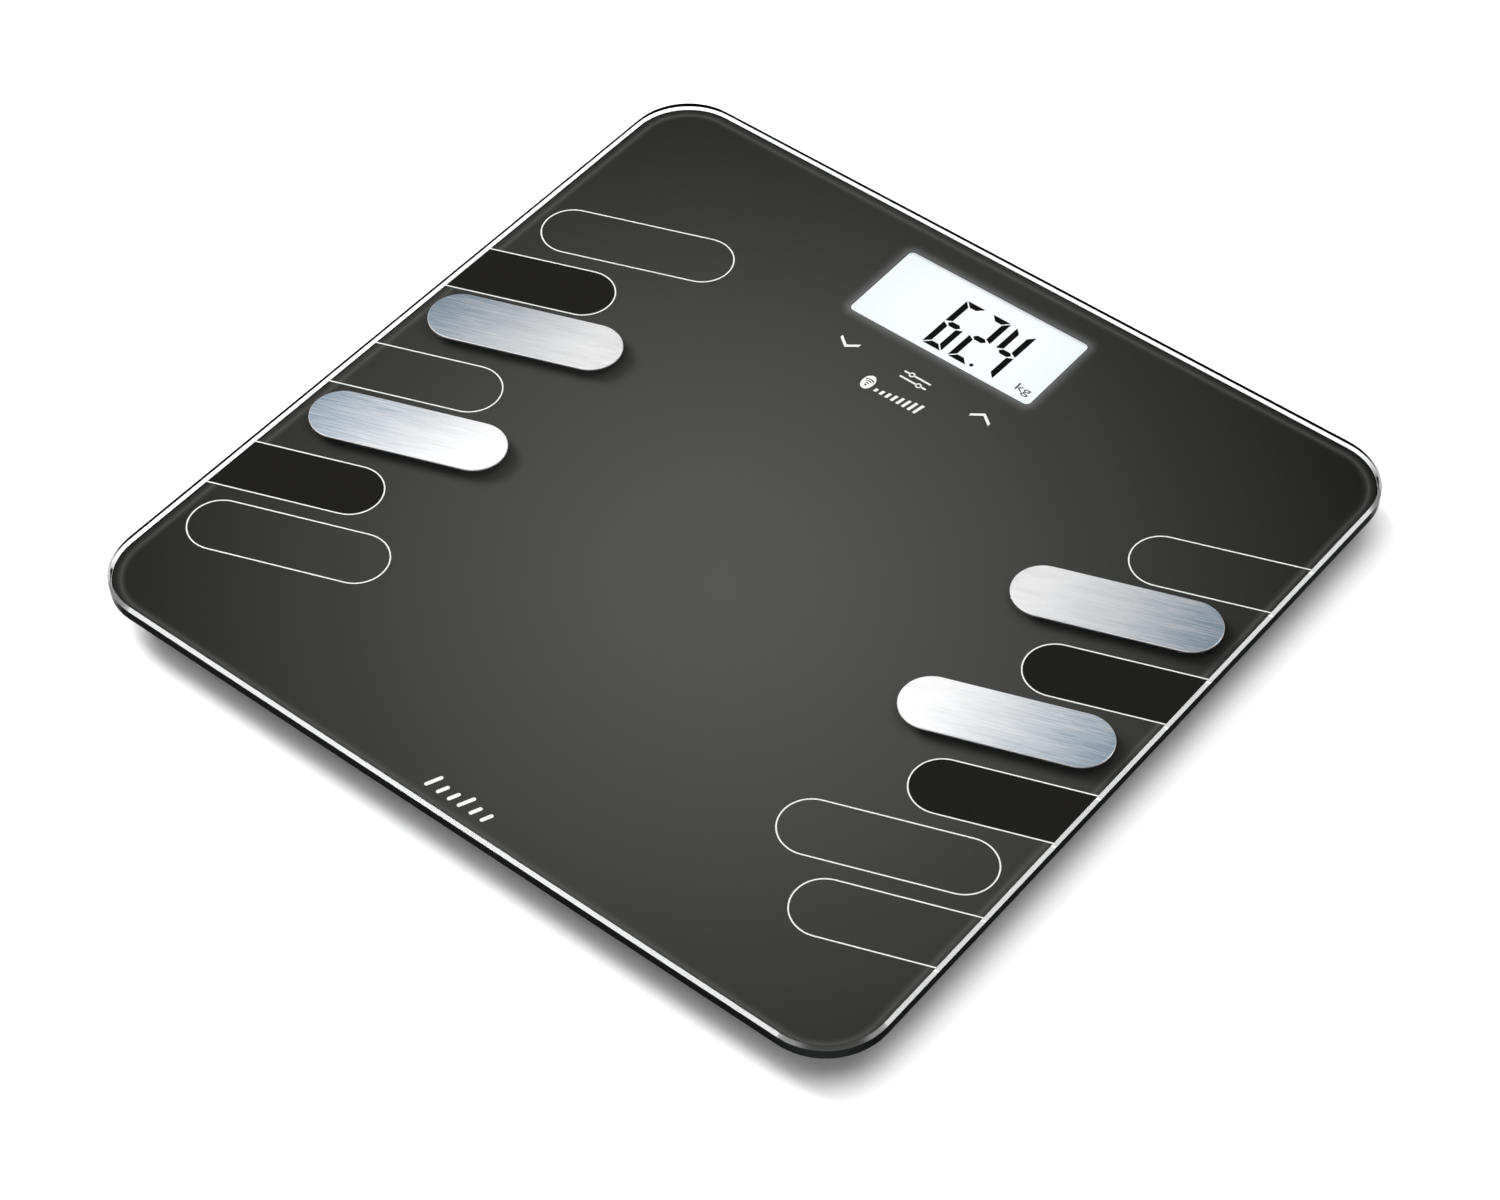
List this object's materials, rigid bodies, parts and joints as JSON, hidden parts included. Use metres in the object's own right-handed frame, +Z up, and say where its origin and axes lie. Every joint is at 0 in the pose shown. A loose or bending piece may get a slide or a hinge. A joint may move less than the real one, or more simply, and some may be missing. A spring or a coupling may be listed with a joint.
{
  "type": "digital bathroom scale",
  "caption": "Glass body-analysis bathroom scale with a backlit display, steel electrodes, sprung weighing feet and a hinged battery door.",
  "frame": {"origin": "on the floor, under the middle of the glass plate", "axes": "+X across the plate to the user's right, +Y from the front edge to the display side, +Z up"},
  "size_m": [0.3122, 0.3052, 0.0232],
  "materials": {
    "tempered_glass": "clear tempered, polished faces and ground edges",
    "printed_film": "dark grey back print with white line work",
    "brushed_stainless": "brushed along its length",
    "stainless_stud": "satin",
    "clear_bond": "clear adhesive",
    "tinned_brass": "tinned",
    "carrier_plastic": "fine moulded texture",
    "cell_steel": "zinc plated",
    "foot_plastic": "fine moulded texture",
    "pad_rubber": "matt foam rubber",
    "gauge_film": "white sealing gel",
    "foam_tape": "white foam",
    "housing_plastic": "fine moulded texture",
    "door_plastic": "fine moulded texture",
    "screw_steel": "zinc plated",
    "battery_jacket": "plain printed jacket",
    "spring_steel": "nickel plated",
    "display_glass": "thin sheet glass with polariser",
    "light_guide": "milky acrylic",
    "led_white": "moulded",
    "frame_plastic": "white reflecting plastic",
    "strip_rubber": "layered conductive rubber",
    "circuit_board": "green solder mask",
    "chip_black": "epoxy",
    "radio_shield": "tinned shield can",
    "header_plastic": "ivory nylon",
    "button_plastic": "satin grey",
    "lead_jacket": "black PVC",
    "thin_lead_jacket": "red PVC",
    "clip_plastic": "natural nylon"
  },
  "bodies": {
    "root": {"glass_platform": "tempered_glass", "printed_film": "printed_film", "electrode_front_left": "brushed_stainless", "electrode_front_right": "brushed_stainless", "electrode_rear_left": "brushed_stainless", "electrode_rear_right": "brushed_stainless", "electrode_studs": "stainless_stud", "electrode_bonds": "clear_bond", "lead_eyelets": "tinned_brass", "battery_contacts": "tinned_brass", "foot_carrier_front_left": "carrier_plastic", "foot_carrier_front_right": "carrier_plastic", "foot_carrier_rear_left": "carrier_plastic", "foot_carrier_rear_right": "carrier_plastic", "load_cell_front_left": "cell_steel", "load_cell_front_right": "cell_steel", "load_cell_rear_left": "cell_steel", "load_cell_rear_right": "cell_steel", "strain_gauges": "gauge_film", "foot_tapes": "foam_tape", "housing_tape": "foam_tape", "electronics_housing": "housing_plastic", "bottom_cover": "housing_plastic", "cover_screws": "screw_steel", "board_screws": "screw_steel", "battery_1": "battery_jacket", "battery_2": "battery_jacket", "battery_3": "battery_jacket", "battery_springs": "spring_steel", "display_front_glass": "display_glass", "display_rear_glass": "display_glass", "light_guide": "light_guide", "backlight_leds": "led_white", "display_frame": "frame_plastic", "contact_strip": "strip_rubber", "main_board": "circuit_board", "touch_key_board": "circuit_board", "control_chip": "chip_black", "unit_switch": "chip_black", "wireless_module": "radio_shield", "key_board_header": "header_plastic", "lead_connectors": "header_plastic", "load_cell_lead_front_left": "lead_jacket", "load_cell_lead_front_right": "lead_jacket", "load_cell_lead_rear_left": "lead_jacket", "load_cell_lead_rear_right": "lead_jacket", "electrode_leads_left": "thin_lead_jacket", "electrode_leads_right": "thin_lead_jacket", "lead_clips": "clip_plastic"},
    "front_left_foot": {"foot_front_left": "foot_plastic", "foot_pad_front_left": "pad_rubber"},
    "front_right_foot": {"foot_front_right": "foot_plastic", "foot_pad_front_right": "pad_rubber"},
    "rear_left_foot": {"foot_rear_left": "foot_plastic", "foot_pad_rear_left": "pad_rubber"},
    "rear_right_foot": {"foot_rear_right": "foot_plastic", "foot_pad_rear_right": "pad_rubber"},
    "battery_lid": {"battery_door": "door_plastic"},
    "unit_key": {"unit_button": "button_plastic", "switch_plunger": "button_plastic"}
  },
  "joints": [
    {"name": "front_left_foot_press", "type": "slide", "parent": "root", "child": "front_left_foot", "axis": [0, 0, 1], "range_m": [0, 0.0004], "stiffness_N_per_m": 10000, "springref_m": -0.0006, "deforming": ["load_cell_front_left"]},
    {"name": "front_right_foot_press", "type": "slide", "parent": "root", "child": "front_right_foot", "axis": [0, 0, 1], "range_m": [0, 0.0004], "stiffness_N_per_m": 10000, "springref_m": -0.0006, "deforming": ["load_cell_front_right"]},
    {"name": "rear_left_foot_press", "type": "slide", "parent": "root", "child": "rear_left_foot", "axis": [0, 0, 1], "range_m": [0, 0.0004], "stiffness_N_per_m": 10000, "springref_m": -0.0006, "deforming": ["load_cell_rear_left"]},
    {"name": "rear_right_foot_press", "type": "slide", "parent": "root", "child": "rear_right_foot", "axis": [0, 0, 1], "range_m": [0, 0.0004], "stiffness_N_per_m": 10000, "springref_m": -0.0006, "deforming": ["load_cell_rear_right"]},
    {"name": "battery_door_hinge", "type": "hinge", "parent": "root", "child": "battery_lid", "pos_m": [0, 0.0773, 0.0043], "axis": [1, 0, 0], "range_deg": [0, 90]},
    {"name": "unit_button_press", "type": "slide", "parent": "root", "child": "unit_key", "axis": [0, 0, 1], "range_m": [0, 0.0005], "stiffness_N_per_m": 400, "springref_m": -0.0005}
  ]
}
